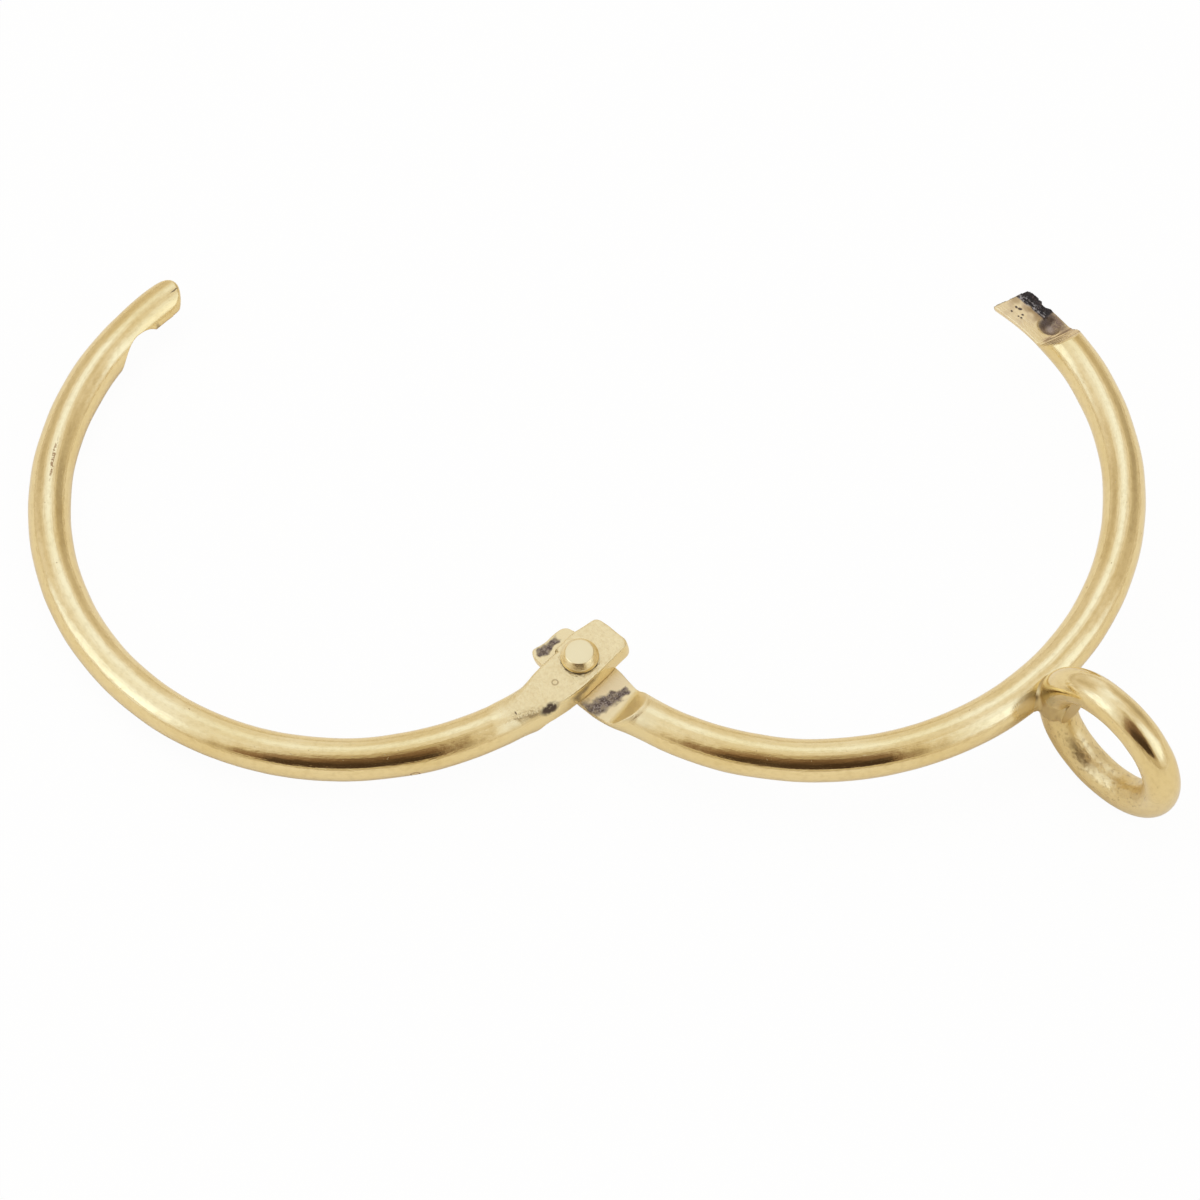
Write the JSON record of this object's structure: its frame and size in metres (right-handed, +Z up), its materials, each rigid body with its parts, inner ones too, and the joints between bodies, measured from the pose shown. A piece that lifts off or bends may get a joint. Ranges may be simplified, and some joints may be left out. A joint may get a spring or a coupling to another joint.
{
  "type": "curtain ring",
  "caption": "Opening curtain ring of round brass wire: two halves on a riveted hinge with a snap half-lap, and a wire eyelet brazed on for the hook.",
  "frame": {"origin": "on the surface that the open ring rests on, under the middle of its bounding box", "axes": "+X from the lug half to the eye half, +Y from the hinge to the open catch, +Z up from the surface"},
  "size_m": [0.079, 0.042, 0.0122],
  "materials": {
    "wire_brass": "polished, with fine draw lines, pits and brown tarnish",
    "rivet_brass": "polished, with tarnish round the edge",
    "eyelet_brass": "polished, hammered inside",
    "braze": "satin, stained"
  },
  "bodies": {
    "eye_side": {"eye_half": "wire_brass", "hinge_rivet": "rivet_brass", "eyelet": "eyelet_brass", "braze_joint": "braze"},
    "lug_side": {"lug_half": "wire_brass"}
  },
  "joints": [
    {"name": "hinge", "type": "hinge", "parent": "eye_side", "child": "lug_side", "pos_m": [-0.00072, -0.01051, 0.00385], "axis": [-0.063, 0, 0.998], "range_deg": [-95.1, 50]}
  ]
}
